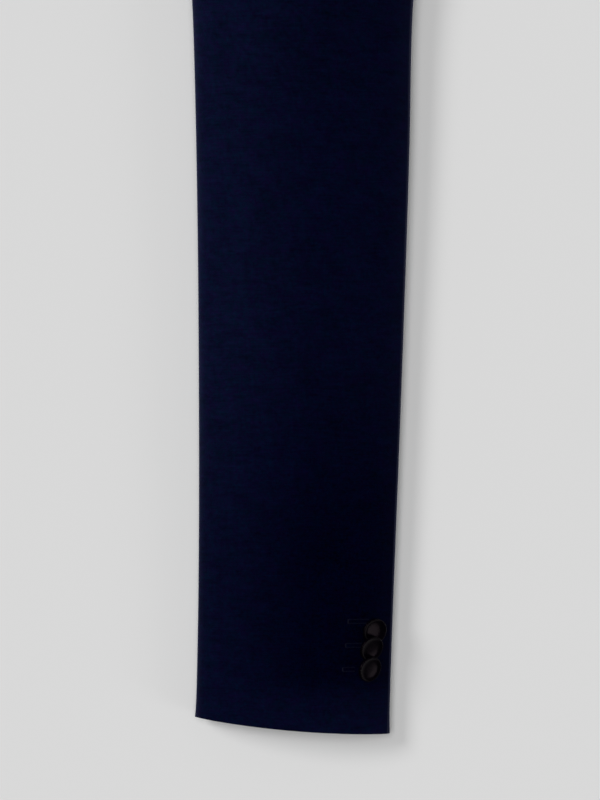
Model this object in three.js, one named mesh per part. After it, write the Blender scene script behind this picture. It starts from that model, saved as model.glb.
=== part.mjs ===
// A one-button tuxedo jacket, laid face up on a flat surface with both sleeves drawn out to the sides.
// Millimetres. +Z is up, +Y runs from hem to collar, and the wearer's left is +X.
import * as THREE from "three";

// Driving dimensions
const clothWall = 2.0; // shell cloth with its canvas or turned edge
const satinWall = 2.0; // doubled facing satin of the shawl
const liningWall = 1.0;
const seamGap = 0.45; // between neighbouring pieces
const layGap = 0.6; // between a piece and the one it lies on
const frontLap = 4.9; // rise of the left front over the right front and its lapel
const lapOuter = 12; // the rise is full up to here from the centre line
const lapEnd = 120; // and has died away here
const roundReach = 64; // how far in from a fold the upper layer goes on rising
const cuffRoundReach = 57.5;
const equator = 0.4; // height of a fold over the crown's height
const underReach = 1.3; // reach of the lower rounding over the fold's height
const collarRoom = 3.6; // lift of the back's neck over the collar lying under it
const collarRoomHeight = [590, 716]; // where that lift sets in, up from the hem
const collarRoomAcross = [100, 180]; // and where it ends, out from the centre
const armBlendAcross = [-90, -10]; // body crown gives way to sleeve crown, across the sleeve
const armBlendAlong = [-70, 40]; // and along it
const reachBlendAlong = [60, 490]; // roundReach gives way to cuffRoundReach
const foldStep = 6; // spacing of the points on a fold line
const underarmSteps = 12;
const pastNeckShare = 0.45; // the shoulder's fold line runs on past the neck by this share of its length

// The plan of one half, from the centre line out
const underarm = new THREE.Vector2(256, 510);
const shoulderPoint = new THREE.Vector2(222, 714);
const neckPoint = new THREE.Vector2(80, 757);
const neckDepth = 20; // back neckline below the side neck
const neckRoundness = 2.4;
const sleeveDrop = THREE.MathUtils.degToRad(68); // sleeve's angle from straight down
const underarmRadius = 22;
const armholeFrontPulls = [new THREE.Vector2(196, 515), new THREE.Vector2(200, 640)]; // bend the armhole seam
const armholeBackPulls = [new THREE.Vector2(218, 520), new THREE.Vector2(212, 640)];
const buttonHeight = 340;
const rollStart = new THREE.Vector2(-18, 352); // where the lapel starts to roll, past the centre line

const sideFold = [
  { height: -60, across: 259 },
  { height: 0, across: 258 },
  { height: 150, across: 247 },
  { height: 300, across: 234 },
  { height: 400, across: 241 },
  { height: 480, across: 252 },
  { height: 600, across: 262 },
];
const bodyCrown = [
  { height: -60, crown: 13 },
  { height: 0, crown: 14 },
  { height: 150, crown: 18 },
  { height: 300, crown: 23 },
  { height: 500, crown: 35 },
  { height: 620, crown: 43 },
  { height: 714, crown: 46 },
  { height: 860, crown: 40 },
];
// Sleeve edges, in the sleeve's own axes: along from the underarm to the cuff, across from front to back
const sleeveFront = [
  { along: 14.4, across: -9.7 },
  { along: 38, across: -4.6 },
  { along: 70, across: -2.7 },
  { along: 190, across: -0.4 },
  { along: 340, across: 0.5 },
  { along: 430, across: 0 },
  { along: 492, across: -1.3 },
  { along: 560, across: -2.1 },
];
const sleeveBack = [
  { along: -107.9, across: 176.4 },
  { along: -70, across: 160 },
  { along: -30, across: 146 },
  { along: 20, across: 134.5 },
  { along: 70, across: 129.4 },
  { along: 120, across: 129 },
  { along: 190, across: 127 },
  { along: 310, across: 122.8 },
  { along: 430, across: 118.1 },
  { along: 505, across: 115.6 },
  { along: 570, across: 113.4 },
];
const sleeveCrown = [
  { along: -120, crown: 47 },
  { along: 0, crown: 43 },
  { along: 70, crown: 39 },
  { along: 190, crown: 34 },
  { along: 340, crown: 30 },
  { along: 500, crown: 27 },
  { along: 580, crown: 26 },
];
const cuffFront = 492.5; // hem at the front edge
const cuffBack = 502.5; // hem at the back edge, a little longer
const cuffBelly = 2.4; // how far the hem bows out between them

// Front edge below the lapel, cut away to a round corner at the hem
const frontEdge = [
  { across: 98, height: 0.5 },
  { across: 66, height: 5 },
  { across: 40, height: 21 },
  { across: 21, height: 54 },
  { across: 6, height: 110 },
  { across: -5, height: 180 },
  { across: -13, height: 250 },
  { across: -17.5, height: 310 },
  { across: -18, height: 352 },
];

const armSteps = 12; // segments from the underarm to the shoulder, on each layer
const sideTopSteps = 5; // of these, the side body takes the lowest on the front
const sideUnderSteps = 4; // and on the back
const seamRows = 10; // rows below the armhole
const frontSeamIn = 50; // front seam in from the side fold
const backSeamIn = 34;
const frontColumns = 9;
const backColumns = 8;
const neckRows = 4; // rows of the back along its neckline
const liningRows = 9;
const liningColumns = 6;
const stripColumns = 6;
const sleeveRows = 15; // rings from armhole to cuff
const backSleeveSeam = 11; // the back seam's place on the upper layer, counted from the front fold
const frontSleeveSeam = 3; // the front seam's place on the lower layer

// Small pieces
const liningHalf = 150; // half width of the lining that shows
const liningHem = 22; // lining stops this far above the hem
const liningShort = 3; // and this far below the neck seam
const liningShoulderIn = 20;
const stripWall = 1.0;
const jetWidth = 5.5;
const hipPocketFrom = new THREE.Vector2(66, 243);
const hipPocketTo = new THREE.Vector2(206, 237);
const breastWelt = { from: new THREE.Vector2(123, 551), to: new THREE.Vector2(202, 560), width: 23 };
const buttonSides = 14;
const frontButton = { radius: 10, height: 4.6 };
const cuffButtonSize = { radius: 7.8, height: 3.3 };
// A cuff button leans up the sleeve by `tilt` and out over the back edge by `roll`, in degrees
const cuffButtons = [
  { along: 439.9, across: 104.9, tilt: 12, roll: 8, rise: 1.3 },
  { along: 449.9, across: 102.6, tilt: 21, roll: 15, rise: 2.4 },
  { along: 462.4, across: 101.7, tilt: 16, roll: 18, rise: 1.95 },
];

const midnight = { color: 0x0a0f24, roughness: 0.85, metalness: 0 };
const satin = { color: 0x0b0a10, roughness: 0.35, metalness: 0 };
const liningCloth = { color: 0x15151c, roughness: 0.5, metalness: 0 };

const jacket = new THREE.Group();

// A smooth reading between the rows of a table
function readTable(rows, from, to) {
  return (at) => {
    let i = 0;
    while (i < rows.length - 2 && at > rows[i + 1][from]) i += 1;
    const slope = (a, b) => (rows[b][to] - rows[a][to]) / (rows[b][from] - rows[a][from]);
    const here = slope(i, i + 1);
    const before = i > 0 ? slope(i - 1, i + 1) : here;
    const after = i < rows.length - 2 ? slope(i, i + 2) : here;
    const span = rows[i + 1][from] - rows[i][from];
    const t = (at - rows[i][from]) / span;
    if (t < 0) return rows[i][to] + here * (at - rows[i][from]);
    if (t > 1) return rows[i + 1][to] + here * (at - rows[i + 1][from]);
    const t2 = t * t;
    const t3 = t2 * t;
    return (
      (2 * t3 - 3 * t2 + 1) * rows[i][to] +
      (t3 - 2 * t2 + t) * span * before +
      (3 * t2 - 2 * t3) * rows[i + 1][to] +
      (t3 - t2) * span * after
    );
  };
}

const { lerp, smoothstep, clamp } = THREE.MathUtils;
const foldAt = readTable(sideFold, "height", "across");
const bodyCrownAt = readTable(bodyCrown, "height", "crown");
const sleeveFrontAt = readTable(sleeveFront, "along", "across");
const sleeveBackAt = readTable(sleeveBack, "along", "across");
const sleeveCrownAt = readTable(sleeveCrown, "along", "crown");

// The sleeve's own axes in plan
const sleeveAxis = new THREE.Vector2(Math.sin(sleeveDrop), -Math.cos(sleeveDrop));
const sleeveAcross = new THREE.Vector2(-sleeveAxis.y, sleeveAxis.x);

function onSleeve(along, across) {
  return underarm.clone().addScaledVector(sleeveAxis, along).addScaledVector(sleeveAcross, across);
}

// Both fold lines in plan: hem to cuff under the arm, and cuff to neck over the shoulder
function foldLines() {
  const under = [];
  const corner = underarmRadius / Math.tan(sleeveDrop / 2);
  const sideTop = underarm.y - corner;
  for (let y = sideFold[0].height; y < sideTop; y += foldStep) under.push(new THREE.Vector2(foldAt(y), y));
  const start = new THREE.Vector2(foldAt(sideTop), sideTop);
  const apex = onSleeve(sleeveFront[0].along, sleeveFront[0].across);
  const bendEnd = sleeveFront[1].along;
  const end = onSleeve(bendEnd, sleeveFront[1].across);
  const bend = new THREE.QuadraticBezierCurve(start, apex.clone().multiplyScalar(2)
    .addScaledVector(start, -0.5).addScaledVector(end, -0.5), end);
  under.push(...bend.getPoints(underarmSteps));
  for (let t = bendEnd + foldStep; t <= sleeveFront.at(-1).along; t += foldStep) {
    under.push(onSleeve(t, sleeveFrontAt(t)));
  }
  const over = [];
  for (let t = sleeveBack.at(-1).along; t > sleeveBack[0].along; t -= foldStep) {
    over.push(onSleeve(t, sleeveBackAt(t)));
  }
  const pastNeck = neckPoint.clone().lerp(shoulderPoint, -pastNeckShare);
  over.push(shoulderPoint.clone(), neckPoint.clone(), pastNeck);
  return [under, over];
}
const folds = foldLines();

// Distance in from the nearest fold, and the way in
function fromFold(plan) {
  let best = { distance: Infinity };
  const edge = new THREE.Vector2();
  const to = new THREE.Vector2();
  for (const line of folds) {
    for (let i = 0; i < line.length - 1; i += 1) {
      edge.subVectors(line[i + 1], line[i]);
      to.subVectors(plan, line[i]);
      const share = clamp(to.dot(edge) / edge.lengthSq(), 0, 1);
      to.addScaledVector(edge, -share);
      const distance = to.length();
      if (distance < best.distance) {
        const inward = new THREE.Vector2(-edge.y, edge.x).normalize();
        best = { distance, inward };
      }
    }
  }
  return best;
}

// A point of the jacket's outer face on one layer, with its outward direction
function shell(plan, top, atFold) {
  const half = new THREE.Vector2(Math.abs(plan.x), plan.y);
  const along = half.clone().sub(underarm).dot(sleeveAxis);
  const across = half.clone().sub(underarm).dot(sleeveAcross);
  const besideBody = smoothstep(across, ...armBlendAcross);
  const onArm = besideBody * smoothstep(along, ...armBlendAlong);
  const crown = lerp(bodyCrownAt(half.y), sleeveCrownAt(along), onArm);
  const fold = crown * equator;
  const { distance, inward } = fromFold(half);
  const reach = lerp(roundReach, cuffRoundReach, besideBody * smoothstep(along, ...reachBlendAlong));
  const out = new THREE.Vector3(-inward.x, -inward.y, 0);
  if (plan.x < 0) out.x = -out.x;
  const share = atFold ? 0 : Math.min(distance / (top ? reach : fold * underReach), 1);
  const rise = Math.sqrt(1 - (1 - share) ** 2);
  const point = new THREE.Vector3(plan.x, plan.y, 0);
  if (top) {
    point.z = fold + (crown - fold) * rise;
    out.multiplyScalar(((crown - fold) / reach) * (1 - share)).setZ(rise).normalize();
    return { point, out };
  }
  const nearNeck = smoothstep(half.y, ...collarRoomHeight) * (1 - smoothstep(half.x, ...collarRoomAcross));
  const room = collarRoom * nearNeck;
  point.z = room + (fold - room) * (1 - rise);
  out.multiplyScalar((1 - share) / underReach).setZ(-rise).normalize();
  return { point, out };
}

// Rise of the left front, which laps over the right front
function lapRise(plan) {
  return frontLap * (1 - smoothstep(plan.x, lapOuter, lapEnd));
}

// One closed wall of cloth. Each row holds spots of the outer face with their outward directions.
function wall(name, rows, finish, { thick = clothWall, offset = 0, side = 1, trim = seamGap / 2 } = {}) {
  const last = rows.length - 1;
  const end = rows[0].length - 1;
  const outer = rows.map((row) => row.map(({ point, out }) => point.clone().addScaledVector(out, offset)));
  const inset = outer.map((row) => row.map((point) => point.clone()));
  const pull = (i, j, toI, toJ) => {
    const alongRow = toI !== i;
    const before = alongRow ? outer[i][Math.max(j - 1, 0)] : outer[Math.max(i - 1, 0)][j];
    const after = alongRow ? outer[i][Math.min(j + 1, end)] : outer[Math.min(i + 1, last)][j];
    const edge = after.clone().sub(before).normalize();
    const way = outer[toI][toJ].clone().sub(outer[i][j]);
    way.addScaledVector(edge, -way.dot(edge));
    inset[i][j].addScaledVector(way.normalize(), trim);
  };
  for (let j = 0; j <= end; j += 1) {
    pull(0, j, 1, j);
    pull(last, j, last - 1, j);
  }
  for (let i = 0; i <= last; i += 1) {
    pull(i, 0, i, 1);
    pull(i, end, i, end - 1);
  }
  const positions = [];
  for (const depth of [0, thick]) {
    rows.forEach((row, i) => row.forEach(({ out }, j) => {
      const spot = inset[i][j].clone().addScaledVector(out, -depth);
      positions.push(spot.x * side, spot.y, spot.z);
    }));
  }
  const across = end + 1;
  const layer = rows.length * across;
  const ahead = outer[1][0].clone().sub(outer[0][0]);
  const beside = outer[0][1].clone().sub(outer[0][0]);
  const outward = beside.cross(ahead).dot(rows[0][0].out) > 0 === side > 0;
  const index = [];
  const quad = (a, b, c, d) => {
    if (outward) index.push(a, b, c, a, c, d);
    else index.push(a, c, b, a, d, c);
  };
  for (let i = 0; i < last; i += 1) {
    for (let j = 0; j < end; j += 1) {
      const a = i * across + j;
      quad(a, a + 1, a + across + 1, a + across);
      quad(layer + a + across, layer + a + across + 1, layer + a + 1, layer + a);
    }
  }
  for (let j = 0; j < end; j += 1) {
    const top = last * across + j;
    quad(layer + j, layer + j + 1, j + 1, j);
    quad(top, top + 1, layer + top + 1, layer + top);
  }
  for (let i = 0; i < last; i += 1) {
    const a = i * across;
    const b = a + end;
    quad(layer + a + across, layer + a, a, a + across);
    quad(layer + b, layer + b + across, b + across, b);
  }
  const geometry = new THREE.BufferGeometry();
  geometry.setAttribute("position", new THREE.Float32BufferAttribute(positions, 3));
  geometry.setIndex(index);
  geometry.computeVertexNormals();
  add(name, geometry, finish);
}

function add(name, geometry, finish) {
  const mesh = new THREE.Mesh(geometry, new THREE.MeshStandardMaterial(finish));
  mesh.name = name;
  jacket.add(mesh);
  return mesh;
}

const named = (piece, side) => `${piece}_${side > 0 ? "left" : "right"}`;
const between = (a, b, share) => a.clone().lerp(b, share);
const cosineShare = (k) => (1 - Math.cos((Math.PI * k) / armSteps)) / 2;

// Armhole seam in plan, from the underarm's fold to the shoulder point
const underarmFold = onSleeve(sleeveFront[0].along, sleeveFront[0].across);
const armholeFront = new THREE.CubicBezierCurve(underarmFold, ...armholeFrontPulls, shoulderPoint);
const armholeBack = new THREE.CubicBezierCurve(underarmFold, ...armholeBackPulls, shoulderPoint);

function armhole(k, top) {
  return (top ? armholeFront : armholeBack).getPoint(cosineShare(k));
}

// From the armhole seam squarely into the sleeve, or along the fold at either end of the seam
function intoSleeve(k, top) {
  if (k === 0 || k === armSteps) return sleeveAxis;
  const seam = (top ? armholeFront : armholeBack).getTangent(cosineShare(k));
  return new THREE.Vector2(seam.y, -seam.x);
}

// The side fold in plan, from the hem to the underarm
function sideFoldPoint(share) {
  const height = underarmFold.y * share;
  const line = folds[0];
  let i = 0;
  while (line[i + 1].y < height) i += 1;
  const part = (height - line[i].y) / (line[i + 1].y - line[i].y);
  return between(line[i], line[i + 1], part);
}

// Side body: columns run up from the hem to the armhole, `steps` of them from the fold to the seam
function sideColumn(k, steps, seamIn, top, share) {
  const inFromFold = seamIn * (1 - Math.cos((Math.PI * k) / (2 * steps)));
  const plan = sideFoldPoint(share);
  plan.x -= inFromFold;
  const atTop = armhole(k, top).sub(underarmFold);
  atTop.x += inFromFold;
  return plan.addScaledVector(atTop, share ** 4);
}
const frontSeam = (share) => sideColumn(sideTopSteps, sideTopSteps, frontSeamIn, true, share);
const backSeam = (share) => sideColumn(sideUnderSteps, sideUnderSteps, backSeamIn, false, share);

function makeSide(side) {
  const rows = [];
  for (let i = 0; i <= seamRows; i += 1) {
    const share = i / seamRows;
    const row = [];
    for (let k = sideTopSteps; k >= 0; k -= 1) {
      row.push(shell(sideColumn(k, sideTopSteps, frontSeamIn, true, share), true, k === 0));
    }
    for (let k = 1; k <= sideUnderSteps; k += 1) {
      row.push(shell(sideColumn(k, sideUnderSteps, backSeamIn, false, share), false));
    }
    rows.push(row);
  }
  wall(named("side", side), rows, midnight, { side });
}

// How far a point lies in from the shoulder line
const shoulderWay = shoulderPoint.clone().sub(neckPoint).normalize();
const shoulderIn = new THREE.Vector2(shoulderWay.y, -shoulderWay.x);
const belowShoulder = (plan) => plan.clone().sub(neckPoint).dot(shoulderIn);
const rollWay = rollStart.clone().sub(neckPoint).normalize();

// The roll line in plan, at a distance in from the shoulder line
function rollPoint(depth) {
  return neckPoint.clone().addScaledVector(rollWay, depth / rollWay.dot(shoulderIn));
}

function frontInner(i) {
  const lapelRow = frontEdge.length - 1;
  if (i <= lapelRow) return new THREE.Vector2(frontEdge[i].across, frontEdge[i].height);
  const depth = belowShoulder(armhole(sideTopSteps + Math.max(i - seamRows, 0), true));
  if (i >= seamRows) return rollPoint(depth);
  return between(rollStart, rollPoint(depth), (i - lapelRow) / (seamRows - lapelRow));
}

function makeFront(side) {
  const rows = [];
  const rowCount = seamRows + armSteps - sideTopSteps;
  for (let i = 0; i <= rowCount; i += 1) {
    const inner = frontInner(i);
    const outer = i <= seamRows ? frontSeam(i / seamRows) : armhole(sideTopSteps + i - seamRows, true);
    const row = [];
    for (let j = 0; j <= frontColumns; j += 1) {
      const plan = between(inner, outer, j / frontColumns);
      const spot = shell(plan, true, i === rowCount);
      if (side > 0) spot.point.z += lapRise(plan);
      row.push(spot);
    }
    rows.push(row);
  }
  wall(named("front", side), rows, midnight, { side });
}

// Back neckline in plan, from the centre seam to the side neck
function neckline(across) {
  return new THREE.Vector2(across, neckPoint.y - neckDepth * (1 - (across / neckPoint.x) ** neckRoundness));
}

function backInner(i, rowCount) {
  const centreRows = rowCount - neckRows;
  if (i <= centreRows) return new THREE.Vector2(0, neckline(0).y * (i / centreRows));
  return neckline((neckPoint.x * (i - centreRows)) / neckRows);
}

function makeBack(side) {
  const rows = [];
  const rowCount = seamRows + armSteps - sideUnderSteps;
  for (let i = 0; i <= rowCount; i += 1) {
    const inner = backInner(i, rowCount);
    const outer = i <= seamRows ? backSeam(i / seamRows) : armhole(sideUnderSteps + i - seamRows, false);
    const row = [];
    for (let j = 0; j <= backColumns; j += 1) {
      row.push(shell(between(inner, outer, j / backColumns), false, i === rowCount));
    }
    rows.push(row);
  }
  wall(named("back", side), rows, midnight, { side });
}

// A spot on the sleeve: `down` from 0 at the armhole to 1 at the cuff, k from the front to the back fold
function sleeveSpot(down, k, top) {
  const share = cosineShare(k);
  const along = lerp(sleeveFront[0].along, cuffFront, down);
  const alongBack = lerp(sleeveBack[0].along, cuffBack, down);
  const front = onSleeve(along, sleeveFrontAt(along));
  const back = onSleeve(alongBack, sleeveBackAt(alongBack));
  const atArm = armhole(k, top).sub(between(underarmFold, shoulderPoint, share));
  const plan = between(front, back, share).addScaledVector(atArm, (1 - down) ** 5);
  plan.addScaledVector(sleeveAxis, cuffBelly * 4 * share * (1 - share) * down ** 6);
  if (down === 0) plan.addScaledVector(intoSleeve(k, top), seamGap);
  return shell(plan, top, k === 0 || k === armSteps);
}

function makeSleeve(side) {
  const rowsOf = (spots) => {
    const rows = [];
    for (let i = 0; i <= sleeveRows; i += 1) {
      rows.push(spots.map(([k, top]) => sleeveSpot(i / sleeveRows, k, top)));
    }
    return rows;
  };
  const topSpots = [];
  for (let k = backSleeveSeam; k >= 0; k -= 1) topSpots.push([k, true]);
  for (let k = 1; k <= frontSleeveSeam; k += 1) topSpots.push([k, false]);
  const underSpots = [];
  for (let k = backSleeveSeam; k <= armSteps; k += 1) underSpots.push([k, true]);
  for (let k = armSteps - 1; k >= frontSleeveSeam; k -= 1) underSpots.push([k, false]);
  wall(named("top_sleeve", side), rowsOf(topSpots), midnight, { side });
  wall(named("under_sleeve", side), rowsOf(underSpots), midnight, { side });
}

// Shawl collar, in sections from the foot of the lapel to the centre back. A lapel section lies `depth` below
// the shoulder line, or level with an armhole spot; a collar section stands on the neckline at `across`.
// `fall` is the width that lies on the jacket, `stand` the part under the fold, `lean` the stand's bend up
// from the cloth, and `turn` how far the section has turned from the shoulder line.
const lapelSections = [
  { depth: 403, fall: 3, stand: 3, lean: 0 },
  { depth: 385, fall: 15, stand: 3, lean: 0 },
  { depth: 350, fall: 38, stand: 3, lean: 0 },
  { depth: 300, fall: 62, stand: 3, lean: 0 },
  { depth: 245, fall: 78, stand: 4, lean: 0 },
  { depth: 195, fall: 84, stand: 4, lean: 0 },
  { armSpot: 5, fall: 84, stand: 4, lean: 0 },
  { armSpot: 6, fall: 81, stand: 5, lean: 3 },
  { armSpot: 7, fall: 76, stand: 7, lean: 8 },
  { armSpot: 8, fall: 70, stand: 10, lean: 16 },
  { armSpot: 9, fall: 63, stand: 14, lean: 24 },
  { armSpot: 10, fall: 57, stand: 17, lean: 28 },
  { armSpot: 11, fall: 53, stand: 19, lean: 28 },
];
const collarSections = [
  { across: 80, fall: 51, stand: 20, lean: 26, turn: 0 },
  { across: 76, fall: 46, stand: 22, lean: 16, turn: 10 },
  { across: 68, fall: 36, stand: 24, lean: 8, turn: 28 },
  { across: 50, fall: 25, stand: 27, lean: 2, turn: 50 },
  { across: 25, fall: 19, stand: 30, lean: 0, turn: 66 },
  { across: 0, fall: 18, stand: 31, lean: 0, turn: 73.2 },
];
const fallShares = [1, 0.75, 0.5, 0.25]; // spots across the part of the fall that lies on the jacket
const foldTurns = [0, 45, 90, 135, 180]; // and round the fold, in degrees
const leastStand = 0.3; // straight part of the stand that a narrow section keeps
const aheadStep = 2; // how far ahead the slope of the cloth is read

// One section of the shawl: the fall's free edge, over the fold, and down the stand to the neck seam
function shawlSection(foot, way, top, atFold, section, side) {
  const lifted = (plan, fold) => {
    const spot = shell(plan, top, fold);
    if (side > 0 && top) spot.point.z += lapRise(plan);
    return spot;
  };
  const over = layGap * (top ? 1 : 2) + satinWall; // looser where it lies under the back
  const row = fallShares.map((share) => {
    const plan = foot.clone().addScaledVector(way, section.fall * share);
    const { point, out } = lifted(plan, atFold);
    return { point: point.addScaledVector(out, over), out };
  });
  const base = lifted(foot, atFold);
  const ahead = lifted(foot.clone().addScaledVector(way, aheadStep), atFold).point;
  const away = base.point.clone().sub(ahead).normalize();
  const lean = THREE.MathUtils.degToRad(section.lean);
  const up = away.clone().multiplyScalar(Math.cos(lean)).addScaledVector(base.out, Math.sin(lean));
  const face = away.clone().multiplyScalar(-Math.sin(lean)).addScaledVector(base.out, Math.cos(lean));
  const radius = (over + clothWall) / 2;
  const centre = (over - clothWall) / 2;
  const spotAt = (rise, cross, turn) => {
    const out = up.clone().multiplyScalar(Math.sin(turn)).addScaledVector(face, Math.cos(turn));
    const point = base.point.clone().addScaledVector(up, rise).addScaledVector(face, cross);
    return { point: point.addScaledVector(out, radius), out };
  };
  const bend = Math.max(section.stand - radius, leastStand);
  for (const turn of foldTurns) row.push(spotAt(bend, centre, THREE.MathUtils.degToRad(turn)));
  const seam = base.point.clone().addScaledVector(up, seamGap).addScaledVector(face, -clothWall);
  row.push({ point: seam, out: face.clone().negate() });
  return row;
}

function makeShawl(side) {
  const rows = lapelSections.map((section) => {
    const depth = section.depth ?? belowShoulder(armhole(section.armSpot, true));
    const foot = rollPoint(depth);
    return shawlSection(foot, shoulderWay, true, false, section, side);
  });
  for (const section of collarSections) {
    const onShoulder = section.across === neckPoint.x;
    const way = shoulderWay.clone().rotateAround(new THREE.Vector2(), -THREE.MathUtils.degToRad(section.turn));
    rows.push(shawlSection(neckline(section.across), way, onShoulder, onShoulder, section, side));
  }
  wall(named("shawl", side), rows, satin, { side, thick: satinWall });
}

// Lining on the inside of the back, where the neck and the cut-away fronts show it
function makeLining() {
  const rows = [];
  for (let i = 0; i <= liningRows; i += 1) {
    const row = [];
    for (let j = 0; j <= liningColumns; j += 1) {
      const across = lerp(-liningHalf, liningHalf, j / liningColumns);
      const beside = Math.abs(across);
      const slope = neckPoint.y + (beside - neckPoint.x) * (shoulderWay.y / shoulderWay.x);
      const top = Math.min(neckline(Math.min(beside, neckPoint.x)).y - liningShort, slope - liningShoulderIn);
      row.push(shell(new THREE.Vector2(across, lerp(liningHem, top, i / liningRows)), false));
    }
    rows.push(row);
  }
  wall("back_lining", rows, liningCloth, { thick: liningWall, offset: -clothWall - 2 * layGap });
}

// A strip lying on the front, from one end of its middle line to the other
function makeStrip(name, from, to, width, finish, side) {
  const way = to.clone().sub(from).normalize();
  const half = new THREE.Vector2(-way.y, way.x).multiplyScalar(width / 2);
  const rows = [-1, 0, 1].map((cross) => {
    const row = [];
    for (let j = 0; j <= stripColumns; j += 1) {
      const plan = between(from, to, j / stripColumns).addScaledVector(half, cross);
      const spot = shell(plan, true);
      if (side > 0) spot.point.z += lapRise(plan);
      row.push(spot);
    }
    return row;
  });
  wall(name, rows, finish, { thick: stripWall, offset: layGap + stripWall, side });
}

function makeHipJets(side) {
  const drop = new THREE.Vector2(0, -(jetWidth + seamGap) / 2);
  for (const [piece, sign] of [["hip_jet_upper", -1], ["hip_jet_lower", 1]]) {
    const from = hipPocketFrom.clone().addScaledVector(drop, sign);
    const to = hipPocketTo.clone().addScaledVector(drop, sign);
    makeStrip(named(piece, side), from, to, jetWidth, satin, side);
  }
}

// A covered button: a flat back, a thin turned rim and a low dome
function buttonGeometry(radius, height) {
  const profile = [
    [0, 0], [0.6, 0], [1, 0.35], [0.92, 0.66], [0.6, 0.92], [0, 1],
  ].map(([out, up]) => new THREE.Vector2(out * radius, up * height));
  return new THREE.LatheGeometry(profile, buttonSides).rotateX(Math.PI / 2);
}

function placeButton(name, radius, height, point, axis, side) {
  const mesh = add(name, buttonGeometry(radius, height), satin);
  mesh.position.set(point.x * side, point.y, point.z);
  const facing = new THREE.Vector3(axis.x * side, axis.y, axis.z);
  mesh.quaternion.setFromUnitVectors(new THREE.Vector3(0, 0, 1), facing);
}

function makeFrontButton() {
  const plan = new THREE.Vector2(0, buttonHeight);
  const { point, out } = shell(plan, true);
  point.z += lapRise(plan) + layGap;
  placeButton("front_button", frontButton.radius, frontButton.height, point, out, 1);
}

// Cuff buttons overlap down the sleeve: each one's upper rim rests on the one above it
function makeCuffButtons(side) {
  const upSleeve = new THREE.Vector3(-sleeveAxis.x, -sleeveAxis.y, 0);
  cuffButtons.forEach(({ along, across, tilt, roll, rise }, i) => {
    const { point, out } = shell(onSleeve(along, across), true);
    const up = upSleeve.clone().addScaledVector(out, -upSleeve.dot(out)).normalize();
    const axis = out.clone().applyAxisAngle(up, THREE.MathUtils.degToRad(roll));
    axis.applyAxisAngle(out.clone().cross(up), -THREE.MathUtils.degToRad(tilt));
    const name = `${named("cuff_button", side)}_${i + 1}`;
    const { radius, height } = cuffButtonSize;
    placeButton(name, radius, height, point.addScaledVector(out, rise), axis, side);
  });
}

for (const side of [1, -1]) {
  makeFront(side);
  makeSide(side);
  makeBack(side);
  makeSleeve(side);
  makeShawl(side);
  makeHipJets(side);
  makeCuffButtons(side);
}
makeLining();
makeStrip("breast_welt", breastWelt.from, breastWelt.to, breastWelt.width, midnight, 1);
makeFrontButton();

// The origin is under the middle of the whole jacket
const box = new THREE.Box3().setFromObject(jacket);
jacket.position.y = -(box.min.y + box.max.y) / 2;

export default jacket;
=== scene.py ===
import math

import bmesh
import bpy
import numpy as np
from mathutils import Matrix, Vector
from mathutils.bvhtree import BVHTree


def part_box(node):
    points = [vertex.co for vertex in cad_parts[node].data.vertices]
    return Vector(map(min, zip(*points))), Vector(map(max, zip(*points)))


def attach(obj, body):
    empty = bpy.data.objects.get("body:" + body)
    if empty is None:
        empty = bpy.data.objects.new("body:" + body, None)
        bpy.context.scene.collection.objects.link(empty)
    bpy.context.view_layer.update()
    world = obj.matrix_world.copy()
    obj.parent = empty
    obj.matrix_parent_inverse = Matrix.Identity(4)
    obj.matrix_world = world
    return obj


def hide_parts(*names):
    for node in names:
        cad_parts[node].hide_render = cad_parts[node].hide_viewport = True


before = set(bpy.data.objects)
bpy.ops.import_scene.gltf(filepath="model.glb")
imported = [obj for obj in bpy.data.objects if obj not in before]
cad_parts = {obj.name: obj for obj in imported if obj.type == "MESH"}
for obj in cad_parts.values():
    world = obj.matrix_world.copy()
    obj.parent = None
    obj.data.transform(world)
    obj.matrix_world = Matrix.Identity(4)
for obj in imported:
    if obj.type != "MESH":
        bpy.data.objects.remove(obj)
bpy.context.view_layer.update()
mm = 0.001


# Small tools

def srgb(code):
    channels = [int(code[i:i + 2], 16) / 255 for i in (1, 3, 5)]
    return tuple(c / 12.92 if c <= 0.04045 else ((c + 0.055) / 1.055) ** 2.4 for c in channels) + (1.0,)


def addNode(tree, kind, settings=None, links=None):
    node = tree.nodes.new(kind)
    for key, value in (settings or {}).items():
        if isinstance(key, int) or key in node.inputs:
            node.inputs[key].default_value = value
        else:
            setattr(node, key, value)
    for socket, source in (links or {}).items():
        tree.links.new(source, node.inputs[socket])
    return node


def newMaterial(name, shader):
    material = bpy.data.materials.new(name)
    material.use_nodes = True
    tree = material.node_tree
    tree.nodes.clear()
    skin = addNode(tree, "ShaderNodeBsdfPrincipled", shader)
    addNode(tree, "ShaderNodeOutputMaterial", links={"Surface": skin.outputs["BSDF"]})
    return material, tree, skin


def focus(piece):
    if bpy.context.mode != "OBJECT":
        bpy.ops.object.mode_set(mode="OBJECT")
    bpy.ops.object.select_all(action="DESELECT")
    piece.select_set(True)
    bpy.context.view_layer.objects.active = piece


def addModifier(piece, kind, settings):
    focus(piece)
    modifier = piece.modifiers.new(kind.lower(), kind)
    for key, value in settings.items():
        setattr(modifier, key, value)
    bpy.ops.object.modifier_apply(modifier=modifier.name)


def easeIn(value, low, high):
    share = np.clip((value - low) / (high - low), 0, 1)
    return share * share * (3 - 2 * share)


def points(piece):
    flat = np.zeros(len(piece.data.vertices) * 3, np.float32)
    piece.data.vertices.foreach_get("co", flat)
    return flat.reshape(-1, 3).astype(float)


def setPoints(piece, places):
    piece.data.vertices.foreach_set("co", places.astype(np.float32).ravel())
    piece.data.update()


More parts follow.
